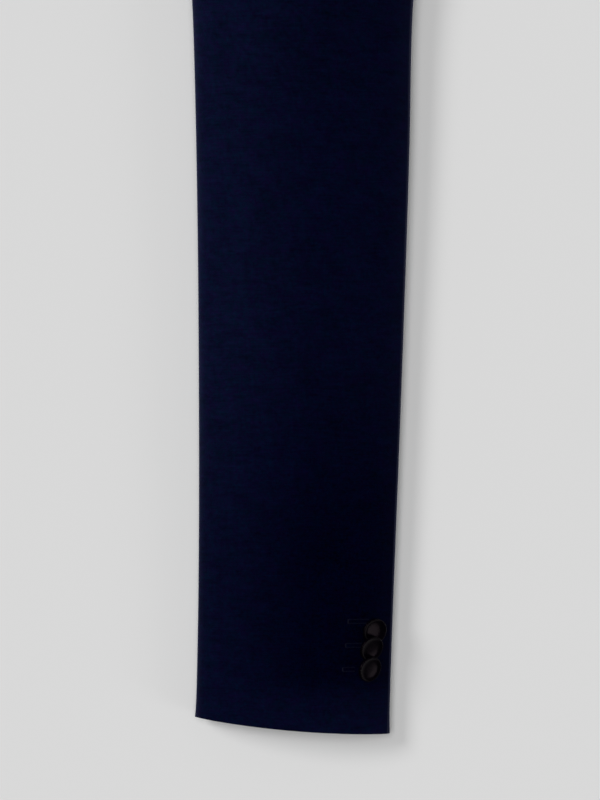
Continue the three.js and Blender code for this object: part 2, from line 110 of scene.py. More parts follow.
def vertexNormals(piece):
    flat = np.zeros(len(piece.data.vertices) * 3, np.float32)
    piece.data.vertex_normals.foreach_get("vector", flat)
    return flat.reshape(-1, 3).astype(float)


def clearMaps(piece):
    while piece.data.uv_layers:
        piece.data.uv_layers.remove(piece.data.uv_layers[0])


def setWeaveMap(piece, uv):
    # The map that a weave is drawn on, in metres across the cloth and down it
    clearMaps(piece)
    layer = piece.data.uv_layers.new(name="weave")
    corners = np.zeros(len(piece.data.loops), np.int32)
    piece.data.loops.foreach_get("vertex_index", corners)
    layer.data.foreach_set("uv", uv[corners].astype(np.float32).ravel())


def dress(piece, finishes):
    for finish in finishes:
        piece.data.materials.append(finish)
    for polygon in piece.data.polygons:
        polygon.use_smooth = True


# The studio: a pale board under the jacket, a soft key light from the upper left, a weaker one from the
# right, a broad light overhead and a little light all round
studio = {
    "boardColour": "#dcdcdc",
    "boardSize": 16.0,
    "boardDrop": 0.2 * mm,
    "fillStrength": 0.12,
    # The camera looks straight down on this place of the left sleeve, in metres from the underarm
    "alongView": 0.3024,
    "acrossView": 0.0618,
    "viewLevel": 0.012,
    "viewHeight": 0.480,
    "cameraRise": 2.4,
    "sensorHeight": 24,
}
# Each light: way it comes from in the view (0 right, 90 top), height in degrees, spread, strength
studioLights = {
    "key_light": (150, 42, 22, 1.16),
    "right_light": (-26, 23, 22, 0.35),
    "top_light": (155, 84.5, 33, 1.76),
}

# Where the jacket's lines run, in metres from the centre line and the hem
plan = {
    "hem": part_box("back_left")[0].y - 0.225 * mm,  # the backs start half a seam's gap above it
    "underarm": (0.256, 0.510),
    "sleeveDrop": math.radians(68),
    "underSleeveWidth": 0.1265,
    "underSleeveTaper": 0.025,
    # A fold's height where it starts, and how it changes in each metre from there
    "sleeveFold": (0.016625, -0.011875),
    "sideFold": (0.0056, 0.0168),
    "sideFoldCurve": 1.2,
    "foldReach": 0.5,
    # Heights up a side body, and how far out its fold lies at each
    "sideFoldLine": ([0, 0.150, 0.300, 0.400, 0.480, 0.600], [0.258, 0.247, 0.234, 0.241, 0.252, 0.262]),
}
sleeveAxis = (math.sin(plan["sleeveDrop"]), -math.cos(plan["sleeveDrop"]))
sleeveAcross = (-sleeveAxis[1], sleeveAxis[0])


def toSleeve(places):
    dx = np.abs(places[:, 0]) - plan["underarm"][0]
    dy = places[:, 1] - plan["hem"] - plan["underarm"][1]
    along = dx * sleeveAxis[0] + dy * sleeveAxis[1]
    across = dx * sleeveAcross[0] + dy * sleeveAcross[1]
    return along, across


def fromSleeve(along, across, side=1):
    x = plan["underarm"][0] + along * sleeveAxis[0] + across * sleeveAcross[0]
    y = plan["hem"] + plan["underarm"][1] + along * sleeveAxis[1] + across * sleeveAcross[1]
    return x * side, y


def makeStudio():
    bpy.ops.object.select_all(action="DESELECT")
    bpy.ops.mesh.primitive_grid_add(x_subdivisions=4, y_subdivisions=4, size=studio["boardSize"],
                                    location=(0, 0, -studio["boardDrop"]))
    board = bpy.context.object
    board.name = "board"
    bpy.ops.object.transform_apply(location=True, rotation=True, scale=True)
    # Painted board, rolled matt: an even tone with nearly no gloss
    painted = newMaterial("painted_board", {
        "Base Color": srgb(studio["boardColour"]), "Roughness": 0.9, "Specular IOR Level": 0.1})[0]
    board.data.materials.append(painted)

    world = bpy.data.worlds.new("studio_fill")
    bpy.context.scene.world = world
    world.use_nodes = True
    fill = world.node_tree.nodes["Background"]
    fill.inputs["Color"].default_value = (1, 1, 1, 1)
    fill.inputs["Strength"].default_value = studio["fillStrength"]

    for name, (turn, height, spread, strength) in studioLights.items():
        bpy.ops.object.light_add(type="SUN", location=(0, 0, 2))
        light = bpy.context.object
        light.name = name
        light.data.energy = strength
        light.data.angle = math.radians(spread)
        light.visible_glossy = name != "top_light"  # the light overhead gives no gloss
        level, rise = math.cos(math.radians(height)), math.sin(math.radians(height))
        turned = math.radians(turn) + plan["sleeveDrop"]
        way = Vector((level * math.cos(turned), level * math.sin(turned), rise))
        light.rotation_euler = way.to_track_quat("Z", "Y").to_euler()

    bpy.ops.object.camera_add()
    camera = bpy.context.object
    camera.name = "camera"
    x, y = fromSleeve(studio["alongView"], studio["acrossView"])
    camera.location = (x, y, studio["viewLevel"] + studio["cameraRise"])
    camera.rotation_euler = (0, 0, plan["sleeveDrop"])
    camera.data.sensor_fit = "VERTICAL"
    camera.data.sensor_height = studio["sensorHeight"]
    camera.data.lens = studio["sensorHeight"] * studio["cameraRise"] / studio["viewHeight"]
    camera.data.clip_end = 20
    bpy.context.scene.camera = camera
    bpy.context.scene.view_settings.view_transform = "Standard"
    print("studio made")


makeStudio()


# Cloth finishes

suiting = {
    "hues": [("#030118", "#010004"), ("#000419", "#000104")],
    # Highlight colours painted into the base colour as a sheen, in place of the gloss of the lights
    "paintedSheenHues": ("#231f4c", "#162a44"),
    "contrast": (0.57, 0.93),
    "hueSpread": (0.38, 0.62),
    "napContrast": 1.6,
    # How much painted sheen lies on the other suiting pieces, and on the under sleeves
    "plainShine": 0.09,
    "underShine": 0.05,
    # Which way the threads repeat, how far apart they lie, and how much they waver
    "threads": {"weft": ("Y", 1.35 * mm, 1.2), "warp": ("X", 1.1 * mm, 1.0)},
    # Size and detail of each clouding of the cloth
    "clouds": {
        "patch": (22 * mm, 2.0),
        "broad": (60 * mm, 4.0),
        "small": (13 * mm, 4.0),
        "hue": (7 * mm, 3.0),
        "grain": (3.2 * mm, 2.0),
        "fibre": (1.5 * mm, 3.0),
        "fluff": (1.5 * mm, 1.0),
    },
    # Width, height and detail of the marks that are drawn out across the cloth
    "streaks": {"slub": (9.090909 * mm, 1.25 * mm, 2.0), "streak": (18 * mm, 3.5 * mm, 3.0)},
    # How much of each pattern goes into the relief, the tone, the drift between the hues, and the nap
    "mixes": {
        "relief": {"weft": 0.35, "warp": 0.35, "slub": 1.2},
        "tone": {"broad": 0.2, "small": 0.2, "streak": 0.12, "slub": 0.2, "grain": 0.3, "fibre": 0.45,
                 "rib": 0.06},
        "drift": {"hue": 0.5, "fluff": 0.5},
        "nap": {"small": 0.7, "grain": 0.5, "streak": 0.4, "slub": 0.4},
    },
}
waveRepeat = 0.3142  # a wave texture repeats every 0.314 of its scaled coordinate
threadWave = {"wave_type": "BANDS", "Detail": 2.0, "Detail Scale": 1.5}
cloudRoughness = 0.6


def makeSuiting():
    # Worsted wool barathea: fine, close and matt, with a faint rib across the grain and a low blue bloom at
    # grazing light. Its threads lie 0.4 mm apart and are drawn about 1.2 mm apart so that they show. A
    # highlight colour is painted into the base colour as a sheen, as strong as the painted sheen map at each
    # point
    material, tree, skin = newMaterial("worsted_wool_midnight", {
        "Roughness": 0.55, "IOR": 1.5, "Specular IOR Level": 0.035, "Specular Tint": srgb("#7488ff"),
        "Sheen Weight": 0.08, "Sheen Roughness": 0.35, "Sheen Tint": srgb("#4a68ff")})
    where = addNode(tree, "ShaderNodeTexCoord").outputs["UV"]
    pattern = {}
    for name, (direction, pitch, waver) in suiting["threads"].items():
        look = {**threadWave, "bands_direction": direction, "Scale": waveRepeat / pitch, "Distortion": waver}
        pattern[name] = addNode(tree, "ShaderNodeTexWave", look, {"Vector": where}).outputs["Fac"]
    for name, (size, detail) in suiting["clouds"].items():
        look = {"Scale": 1 / size, "Detail": detail, "Roughness": cloudRoughness}
        pattern[name] = addNode(tree, "ShaderNodeTexNoise", look, {"Vector": where}).outputs["Fac"]
    for name, (width, height, detail) in suiting["streaks"].items():
        stretch = {"Scale": (1 / width, 1 / height, 1)}
        drawn = addNode(tree, "ShaderNodeMapping", stretch, {"Vector": where}).outputs["Vector"]
        look = {"Scale": 1.0, "Detail": detail, "Roughness": cloudRoughness}
        pattern[name] = addNode(tree, "ShaderNodeTexNoise", look, {"Vector": drawn}).outputs["Fac"]
    # The rib across the grain shows in patches
    pattern["rib"] = addNode(tree, "ShaderNodeMath", {"operation": "MULTIPLY"},
                             {0: pattern["weft"], 1: pattern["patch"]}).outputs[0]
    for name, shares in suiting["mixes"].items():
        total = None
        for part, share in shares.items():
            links = {0: pattern[part]} if total is None else {0: pattern[part], 2: total}
            total = addNode(tree, "ShaderNodeMath", {"operation": "MULTIPLY_ADD", 1: share, 2: 0.0},
                            links).outputs[0]
        pattern[name] = total
    bump = addNode(tree, "ShaderNodeBump", {"Strength": 0.4, "Distance": 0.12 * mm},
                   {"Height": pattern["relief"]})
    tree.links.new(bump.outputs["Normal"], skin.inputs["Normal"])

    # Two near hues drift into each other. A colour Mix takes colours at sockets 6 and 7 and gives one at 2
    hues = []
    for light, dark in suiting["hues"]:
        ramp = addNode(tree, "ShaderNodeValToRGB", links={"Fac": pattern["tone"]})
        for stop, code, place in zip(ramp.color_ramp.elements, (dark, light), suiting["contrast"]):
            stop.color = srgb(code)
            stop.position = place
        hues.append(ramp.outputs["Color"])
    low, high = suiting["hueSpread"]
    spread = addNode(tree, "ShaderNodeMapRange", {"From Min": low, "From Max": high},
                     {"Value": pattern["drift"]}).outputs["Result"]
    cloth = addNode(tree, "ShaderNodeMix", {"data_type": "RGBA"}, {"Factor": spread, 6: hues[0], 7: hues[1]})

    # A painted sheen, a highlight colour added by the painted sheen map and broken up by the nap, lies over
    # them
    warm, cool = suiting["paintedSheenHues"]
    paintedSheenColour = addNode(tree, "ShaderNodeMix", {"data_type": "RGBA", 6: srgb(warm), 7: srgb(cool)},
                    {"Factor": spread})
    contrast = suiting["napContrast"]
    rough = addNode(tree, "ShaderNodeMath", {"operation": "MULTIPLY_ADD", 1: contrast, 2: 1 - contrast},
                    {0: pattern["nap"]}).outputs[0]
    painted_sheen = addNode(tree, "ShaderNodeAttribute", {"attribute_name": "painted_sheen"}).outputs["Fac"]
    amount = addNode(tree, "ShaderNodeMath", {"operation": "MULTIPLY"}, {0: painted_sheen, 1: rough}).outputs[0]
    shown = addNode(tree, "ShaderNodeMix", {"data_type": "RGBA", "blend_type": "ADD"},
                    {"Factor": amount, 6: cloth.outputs[2], 7: paintedSheenColour.outputs[2]})
    tree.links.new(shown.outputs[2], skin.inputs["Base Color"])
    return material


satin = {"ribPitch": 0.9 * mm, "waver": 0.6, "mottleSize": 11 * mm, "contrast": (0.3, 0.75)}


def makeSatin(name, light, dark, gloss, glint, tint, drawn):
    # Satin: smooth floats of thread, so a soft, drawn-out gloss and a fine rib, drawn coarse enough to show
    material, tree, skin = newMaterial(name, {
        "Roughness": gloss, "Specular IOR Level": glint, "IOR": 1.5, "Anisotropic": drawn,
        "Anisotropic Rotation": 0.25, "Specular Tint": srgb(tint)})
    where = addNode(tree, "ShaderNodeTexCoord").outputs["UV"]
    floats = addNode(tree, "ShaderNodeTangent", {"direction_type": "UV_MAP", "uv_map": "weave"})
    tree.links.new(floats.outputs["Tangent"], skin.inputs["Tangent"])
    scale = waveRepeat / satin["ribPitch"]
    look = {**threadWave, "bands_direction": "X", "Scale": scale, "Distortion": satin["waver"]}
    rib = addNode(tree, "ShaderNodeTexWave", look, {"Vector": where}).outputs["Fac"]
    bump = addNode(tree, "ShaderNodeBump", {"Strength": 0.12, "Distance": 0.05 * mm}, {"Height": rib})
    tree.links.new(bump.outputs["Normal"], skin.inputs["Normal"])
    look = {"Scale": 1 / satin["mottleSize"], "Detail": 3.0, "Roughness": cloudRoughness}
    mottle = addNode(tree, "ShaderNodeTexNoise", look, {"Vector": where})
    ramp = addNode(tree, "ShaderNodeValToRGB", links={"Fac": mottle.outputs["Fac"]})
    for stop, code, place in zip(ramp.color_ramp.elements, (dark, light), satin["contrast"]):
        stop.color = srgb(code)
        stop.position = place
    tree.links.new(ramp.outputs["Color"], skin.inputs["Base Color"])
    return material


twist = {"light": "#101222", "dark": "#06070f", "strandSize": 2 * mm}


def makeTwist():
    # Buttonhole twist: a tight silk thread, matt blue-grey
    material, tree, skin = newMaterial("silk_buttonhole_twist", {
        "Roughness": 0.6, "Specular IOR Level": 0.08})
    where = addNode(tree, "ShaderNodeTexCoord").outputs["Object"]
    look = {"Scale": 1 / twist["strandSize"], "Detail": 2.0, "Roughness": cloudRoughness}
    strands = addNode(tree, "ShaderNodeTexNoise", look, {"Vector": where})
    ramp = addNode(tree, "ShaderNodeValToRGB", links={"Fac": strands.outputs["Fac"]})
    for stop, code in zip(ramp.color_ramp.elements, (twist["dark"], twist["light"])):
        stop.color = srgb(code)
    tree.links.new(ramp.outputs["Color"], skin.inputs["Base Color"])
    return material


suitingFinish = makeSuiting()
# Light and dark of the mottle, roughness, strength and tint of the gloss, and how far it is drawn out. Silk
# satin faces the collar. Satin pulled tight covers the buttons, so its gloss is sharper. Cupro is a smooth
# rayon, duller than satin
satinFinish = makeSatin("silk_satin_black", "#07060c", "#040408", 0.3, 0.26, "#e6e2ff", 0.5)
buttonFinish = makeSatin("satin_button_cover", "#030106", "#010103", 0.22, 0.048, "#ffe0f0", 0.65)
liningFinish = makeSatin("cupro_lining", "#101017", "#0b0b12", 0.45, 0.25, "#ffffff", 0.3)
threadFinish = makeTwist()
print("finishes made")


# Creases: from and to in millimetres, bow of the line to its left, half width, and lift (a trough is
# negative). Places on a sleeve are along and across it from the underarm, and places on the body are out from
# the centre line and up from the hem

sleeveCreases = {
    1: [
        (60, 20, 190, 92, 8, 17, 1.1),
        (95, 6, 235, 52, -7, 14, -1.0),
        (150, 2, 262, 74, 9, 11, 0.8),
        (205, 4, 300, 40, -6, 12, -0.9),
        (240, 112, 330, 58, 7, 15, 0.8),
        (300, 12, 420, 64, -9, 20, 0.7),
        (345, 96, 440, 40, 8, 18, -0.6),
        (20, 118, 120, 60, -8, 16, 1.4),
        (0, 60, 80, 20, 6, 14, -1.4),
    ],
    -1: [
        (50, 90, 170, 24, -8, 16, 1.2),
        (110, 110, 230, 50, 7, 15, -1.0),
        (160, 4, 270, 70, 8, 12, 0.9),
        (215, 10, 290, 66, -5, 10, -0.8),
        (255, 104, 350, 44, 8, 16, 0.8),
        (330, 20, 430, 78, -8, 19, 0.6),
        (10, 30, 90, 100, 7, 15, 1.4),
    ],
}
sleeveUnderCreases = {
    1: [(80, 20, 210, 90, 8, 13, 1.0), (180, 100, 290, 30, -8, 12, 1.1), (300, 30, 420, 90, 7, 15, 0.8)],
    -1: [(70, 100, 190, 30, -8, 13, 1.0), (200, 24, 320, 88, 8, 14, 1.1), (330, 92, 430, 40, 6, 14, 0.7)],
}
bodyCreases = [
    (14, 338, 96, 402, -6, 11, 1.3),
    (20, 330, 130, 352, 5, 10, -1.2),
    (16, 322, 112, 276, 6, 12, 1.1),
    (-16, 338, -102, 396, 6, 12, 1.2),
    (-22, 330, -128, 344, -5, 11, -1.1),
    (-18, 320, -96, 268, -6, 11, 1.0),
    (196, 512, 128, 436, 9, 14, 1.8),
    (214, 540, 150, 500, 8, 11, -1.6),
    (-198, 520, -136, 430, -9, 15, 1.7),
    (-214, 548, -158, 512, -7, 11, -1.5),
    (210, 300, 120, 318, 7, 13, 1.1),
    (-206, 286, -126, 310, -6, 12, 1.2),
    (186, 60, 150, 190, 8, 17, 1.4),
    (92, 40, 112, 170, -7, 19, 1.0),
    (-180, 50, -156, 196, -8, 18, 1.5),
    (-84, 30, -108, 160, 8, 17, -0.9),
    (196, 640, 150, 560, -8, 13, 1.2),
    (-190, 652, -148, 574, 8, 14, 1.3),
]
# Darts: from and to, depth; the seam of each sinks a little into the cloth
darts = [(84, 282, 88, 424, -0.42), (-84, 282, -88, 424, -0.42)]
dartShape = {"lowFade": 8, "highFade": 30, "halfWidth": 1.7}
backCreases = [
    (20, 300, 190, 336, 8, 14, 1.4),
    (-30, 290, -200, 318, -8, 14, 1.3),
    (10, 540, 160, 590, 9, 15, 1.2),
    (-14, 556, -170, 610, -9, 16, 1.2),
    (60, 60, 84, 250, 8, 18, 1.2),
    (-70, 80, -56, 260, -8, 17, 1.3),
    (186, 420, 80, 470, 8, 14, 1.1),
    (-180, 400, -70, 452, -8, 15, 1.2),
    (60, 690, 180, 640, -7, 14, 1.2),
    (-50, 694, -170, 650, 7, 14, 1.2),
]
# Each crease wavers, swells and sinks along its length and widens towards its end, with a slight dip on
# either side. Waver and pitches are millimetres; the two steps keep any crease from copying the last one.
# Creases of the body pass into those of a sleeve over armAlong and armAcross, metres from the underarm
creaseShape = {
    "endFade": 0.32,
    "waver": 0.72,
    "waverPitch": 55.0,
    "unevenness": 0.35,
    "unevenPitch": 37.0,
    "startWidth": 0.75,
    "widening": 0.5,
    "sideDip": 0.7,
    "bodyShare": 2.4,
    "waverStep": 1.7,
    "unevenStep": 2.3,
    "armAlong": (0.0, 0.05),
    "armAcross": (-0.06, 0.0),
}


def creaseLift(a, b, creases, troughs=True):
    total = np.zeros(len(a))
    shape = creaseShape
    for number, (a0, b0, a1, b1, bow, width, lift) in enumerate(creases):
        length = math.hypot(a1 - a0, b1 - b0)
        ux, uy = (a1 - a0) / length, (b1 - b0) / length
        run = (a - a0) * ux + (b - b0) * uy
        share = run / length
        swing = np.sin(run / shape["waverPitch"] * 2 * math.pi + number * shape["waverStep"])
        off = (b - b0) * ux - (a - a0) * uy - bow * 4 * share * (1 - share) - shape["waver"] * swing
        fade = easeIn(share, 0, shape["endFade"]) * (1 - easeIn(share, 1 - shape["endFade"], 1))
        uneven = 1 + shape["unevenness"] * np.sin(run / shape["unevenPitch"] + number * shape["unevenStep"])
        q = (off / (width * (shape["startWidth"] + shape["widening"] * share))) ** 2
        total += lift * fade * uneven * (1 - shape["sideDip"] * q) * np.exp(-q)
    return total if troughs else np.maximum(total, 0)


def dartLift(x, y):
    total = np.zeros(len(x))
    for x0, y0, x1, y1, depth in darts:
        share = np.clip((y - y0) / (y1 - y0), 0, 1)
        line = x0 + (x1 - x0) * share
        fade = easeIn(y, y0 - dartShape["lowFade"], y0) * (1 - easeIn(y, y1 - dartShape["highFade"], y1))
        total += depth * fade * np.exp(-((x - line) / dartShape["halfWidth"]) ** 2)
    return total


def liftAt(places, layer, side):
    along, across = toSleeve(places)
    onSleeve = easeIn(along, *creaseShape["armAlong"]) * easeIn(across, *creaseShape["armAcross"])
    x, y = places[:, 0] / mm, (places[:, 1] - plan["hem"]) / mm
    if layer == "top":
        arm = creaseLift(along / mm, across / mm, sleeveCreases[side])
        body = creaseShape["bodyShare"] * creaseLift(x, y, bodyCreases) + dartLift(x, y)
    else:
        arm = creaseLift(along / mm, across / mm, sleeveUnderCreases[side], False)
        body = creaseShape["bodyShare"] * creaseLift(x, y, backCreases, False)
    return mm * (onSleeve * arm + (1 - onSleeve) * body)


# Cloth pieces: the outer face of a CAD wall, smoothed, creased and given its own thickness

clothShape = {
    "weld": 0.02 * mm,
    "quadAngle": math.radians(50),
    "quadSkew": math.radians(80),
    "rimAngle": math.radians(62),
    "cornerTurn": math.radians(38),
    "levels": 3,
    "seamSpread": 0.19 * mm,
    "tipReach": 30 * mm,
    "tipSpread": 1.1 * mm,
    "tipShift": 6.5 * mm,
    "tipInward": 1.6 * mm,
    "edgeShare": 0.3,
    "edgeMost": 0.45 * mm,
    "edgeAngle": math.radians(55),
    # How level the cloth lies, as its normal's height, where creases start to show and where they show fully
    "creaseLevel": (0.25, 0.85),
}


def outerFace(mesh, facing):
    # Sharp edges part a wall into outer face, inner face and rim: this is the one most turned to `facing`
    waiting = set(mesh.faces)
    regions = []
    while waiting:
        region = [waiting.pop()]
        for face in region:  # it grows as it is walked
            for edge in face.edges:
                if len(edge.link_faces) != 2 or edge.calc_face_angle() > clothShape["rimAngle"]:
                    continue
                for other in edge.link_faces:
                    if other in waiting:
                        waiting.discard(other)
                        region.append(other)
        regions.append(region)
    return max(regions, key=lambda region: sum(face.calc_area() * face.normal.dot(facing) for face in region))


def sheetFrom(node, name, facing):
    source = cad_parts[node]
    piece = source.copy()
    piece.data = source.data.copy()
    piece.name = name
    piece.data.name = name
    piece.data.materials.clear()
    piece.parent = None
    for key in list(piece.keys()):  # the CAD node's own marks
        del piece[key]
    bpy.context.scene.collection.objects.link(piece)
    focus(piece)
    bpy.ops.object.mode_set(mode="EDIT")
    bpy.ops.mesh.select_all(action="SELECT")
    bpy.ops.mesh.remove_doubles(threshold=clothShape["weld"])
    bpy.ops.mesh.tris_convert_to_quads(face_threshold=clothShape["quadAngle"],
                                       shape_threshold=clothShape["quadSkew"])
    bpy.ops.mesh.select_all(action="DESELECT")
    mesh = bmesh.from_edit_mesh(piece.data)
    kept = set(outerFace(mesh, facing))
    for face in mesh.faces:
        face.select_set(face not in kept)
    bmesh.update_edit_mesh(piece.data)
    bpy.ops.mesh.delete(type="FACE")
    bpy.ops.object.mode_set(mode="OBJECT")
    keepCorners(piece)
    addModifier(piece, "SUBSURF", {"levels": clothShape["levels"], "render_levels": clothShape["levels"],
                                   "boundary_smooth": "PRESERVE_CORNERS"})
    return piece


def keepCorners(piece):
    # Corners of the cut stay sharp when the cloth is smoothed
    mesh = bmesh.new()
    mesh.from_mesh(piece.data)
    crease = mesh.verts.layers.float.new("crease_vert")
    for vertex in mesh.verts:
        border = [edge.other_vert(vertex).co - vertex.co for edge in vertex.link_edges if edge.is_boundary]
        if len(border) == 2 and math.pi - border[0].angle(border[1]) > clothShape["cornerTurn"]:
            vertex[crease] = 1.0
    mesh.to_mesh(piece.data)
    mesh.free()


def spreadBorder(piece, reach, tips):
    # Moves the border outwards to close the seam, and further round the pointed `tips` of a side body
    mesh = bmesh.new()
    mesh.from_mesh(piece.data)
    moves = {}
    for edge in mesh.edges:
        if edge.is_boundary:
            face = edge.link_faces[0]
            way = (edge.verts[1].co - edge.verts[0].co).cross(face.normal).normalized()
            middle = (edge.verts[0].co + edge.verts[1].co) / 2
            if way.dot(middle - face.calc_center_median()) < 0:
                way = -way
            for vertex in edge.verts:
                moves[vertex] = moves.get(vertex, Vector()) + way
    for vertex, way in moves.items():
        near = [1 - (vertex.co - tip).length / clothShape["tipReach"] for tip in tips]
        further = clothShape["tipSpread"] * max([float(easeIn(share, 0, 1)) for share in near], default=0)
        vertex.co += way.normalized() * (reach + further)
    mesh.to_mesh(piece.data)
    mesh.free()


def giveWeaveMap(piece, kind):
    # The weave runs down each piece, and round the fold of a sleeve or side body without a break
    x, y, z = points(piece).T
    if kind in ("topSleeve", "underSleeve", "side"):
        if kind == "side":
            down, height = y, y - plan["hem"]
            inward = np.interp(height, *plan["sideFoldLine"]) - np.abs(x)
            start, change = plan["sideFold"]
            fold = start + change * np.clip(height, 0, plan["foldReach"]) ** plan["sideFoldCurve"]
        else:
            down, across = toSleeve(points(piece))
            edge = plan["underSleeveWidth"] - plan["underSleeveTaper"] * down
            inward = across if kind == "topSleeve" else edge - across
            start, change = plan["sleeveFold"]
            fold = start + change * np.clip(down, 0, plan["foldReach"])
        x, y = np.sign(z - fold) * np.hypot(inward, z - fold), down
    setWeaveMap(piece, np.stack([x, y], axis=1))


# Painted sheen on a sleeve: how much highlight colour goes into its base colour, in place of the gloss of
# the lights. It is painted brightest along the front fold, less towards the back fold, and less again towards
# the cuff; on the turned-up hem it is painted brighter again. Cloth that turns down at a fold gets painted
# sheen too. Places are millimetres down the sleeve from the underarm and across it from the front fold, and
# foldEase is how level the cloth lies, as its normal's height
paintedSheenAmounts = {
    "frontShine": 0.17,
    "backShine": 0.07,
    "acrossEase": (0, 80),
    "cuffFade": 0.075,
    "cuffEase": (240, 430),
    "hemShine": 0.1,
    "hemEase": (465, 490),
    "foldShine": 0.2,
    "foldEase": (0.2, 0.97),
}


def paintSheen(piece, kind):
    places = points(piece)
    # Painted sheen: an even amount on other cloth, less on the under sleeves
    shine = np.full(len(places), suiting["underShine"] if kind == "underSleeve" else suiting["plainShine"])
    if kind == "topSleeve":
        along, across = [part / mm for part in toSleeve(places)]
        back = easeIn(across, *paintedSheenAmounts["acrossEase"])
        down = easeIn(along, *paintedSheenAmounts["cuffEase"])
        shine = paintedSheenAmounts["frontShine"] * (1 - back) + paintedSheenAmounts["backShine"] * back
        shine = np.maximum(shine - paintedSheenAmounts["cuffFade"] * down, 0)
        shine += paintedSheenAmounts["hemShine"] * back * easeIn(along, *paintedSheenAmounts["hemEase"])
        # More painted sheen on cloth that turns down at a fold
        turned = 1 - easeIn(vertexNormals(piece)[:, 2], *paintedSheenAmounts["foldEase"])
        shine += paintedSheenAmounts["foldShine"] * turned * (1 - back * down)
    layer = piece.data.attributes.new("painted_sheen", "FLOAT", "POINT")
    layer.data.foreach_set("value", shine.astype(np.float32))


# Each cut of cloth: which side of the jacket it shows on, outer and inner finish, wall in millimetres, slot,
# and its flat width, length and area in metres
cuts = {
    "topSleeve": ("top", suitingFinish, liningFinish, 1.7, "dinner_suiting", 0.19, 0.62, 0.089),
    "underSleeve": ("under", suitingFinish, liningFinish, 1.7, "dinner_suiting", 0.16, 0.60, 0.072),
    "front": ("top", suitingFinish, liningFinish, 1.7, "dinner_suiting", 0.25, 0.76, 0.138),
    "side": ("top", suitingFinish, liningFinish, 1.7, "dinner_suiting", 0.12, 0.56, 0.047),
    "back": ("under", suitingFinish, liningFinish, 1.7, "dinner_suiting", 0.24, 0.76, 0.161),
    "shawl": ("top", satinFinish, None, 1.6, "satin", 0.12, 0.56, 0.0395),
    "jet": ("top", satinFinish, None, 0.9, "satin", 0.011, 0.140, 0.00086),
    "lining": ("under", liningFinish, None, 0.8, "lining", 0.30, 0.72, 0.213),
    "welt": ("top", suitingFinish, None, 0.9, "dinner_suiting", 0.024, 0.080, None),
}


def drawTips(places, side):
    # Draws the two pointed top corners of a side body into the armhole; gives back where they were
    tips = []
    upper = places[:, 2] > places[:, 2].mean()
    for half in (upper, ~upper):
        tip = places[half][places[half][:, 1].argmax()].copy()
        near = easeIn(1 - np.linalg.norm(places - tip, axis=1) / clothShape["tipReach"], 0, 1)
        places[:, 1] += near * clothShape["tipShift"]
        places[:, 0] -= near * clothShape["tipInward"] * side
        tips.append(Vector(tip))
    return tips


def makeCloth(node, name, kind, facing, side):
    layer, finish, inside, wall, slot, width, length, area = cuts[kind]
    piece = sheetFrom(node, name, facing)
    places = points(piece)
    level = vertexNormals(piece)[:, 2]
    lift = liftAt(places, layer, side)
    if layer == "under" and kind != "lining":
        lift = np.where(level < 0, lift, 0)
    elif kind in ("topSleeve", "side"):
        lift = np.where(level > 0, lift, 0)
    places[:, 2] += lift * easeIn(np.abs(level), *clothShape["creaseLevel"])
    tips = drawTips(places, side) if kind == "side" else []
    setPoints(piece, places)
    spreadBorder(piece, clothShape["seamSpread"], tips)
    addModifier(piece, "SOLIDIFY", {"thickness": wall * mm, "offset": -1, "use_rim": True,
                                    "material_offset": 1 if inside else 0})
    addModifier(piece, "BEVEL", {"width": min(clothShape["edgeMost"], wall * mm * clothShape["edgeShare"]),
                                 "segments": 2, "limit_method": "ANGLE",
                                 "angle_limit": clothShape["edgeAngle"]})
    giveWeaveMap(piece, kind)
    paintSheen(piece, kind)
    dress(piece, [finish, inside] if inside else [finish])
    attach(piece, "root")
    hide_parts(node)
    return piece


faceUp, faceDown = Vector((0, 0, 1)), Vector((0, 0, -1))
cloths = {}
for side, word in ((1, "left"), (-1, "right")):
    for node, name, kind, facing in (
            ("top_sleeve", "top_sleeve_cloth", "topSleeve", faceUp),
            ("under_sleeve", "under_sleeve_cloth", "underSleeve", faceDown),
            ("front", "front_cloth", "front", faceUp),
            ("side", "side_cloth", "side", Vector((side, 0, 0))),
            ("back", "back_cloth", "back", faceDown),
            ("shawl", "shawl_satin", "shawl", faceUp),
            ("hip_jet_upper", "hip_jet_satin_upper", "jet", faceUp),
            ("hip_jet_lower", "hip_jet_satin_lower", "jet", faceUp)):
        cloths[f"{node}_{word}"] = makeCloth(f"{node}_{word}", f"{name}_{word}", kind, facing, side)
makeCloth("back_lining", "back_lining_cloth", "lining", faceUp, 1)
makeCloth("breast_welt", "breast_welt_cloth", "welt", faceUp, 1)
print("cloth made")


# Covered buttons

button = {
    "sides": 40,
    "levels": 2,
    "gathers": 26,
    "gatherDepth": 0.05 * mm,
    "gatherShares": (0.8, 0.98),
    "gatherSway": 1.3,
    "sways": 5,
}
# A button's outline from its back round the rim to the middle of its dished face, in shares of its radius and
# height
buttonOutline = [
    (0.60, 0.00), (0.86, 0.14), (0.97, 0.38), (1.00, 0.66), (0.985, 0.86), (0.95, 0.95), (0.91, 0.93),
    (0.865, 0.80), (0.76, 0.68), (0.56, 0.60), (0.28, 0.56),
]


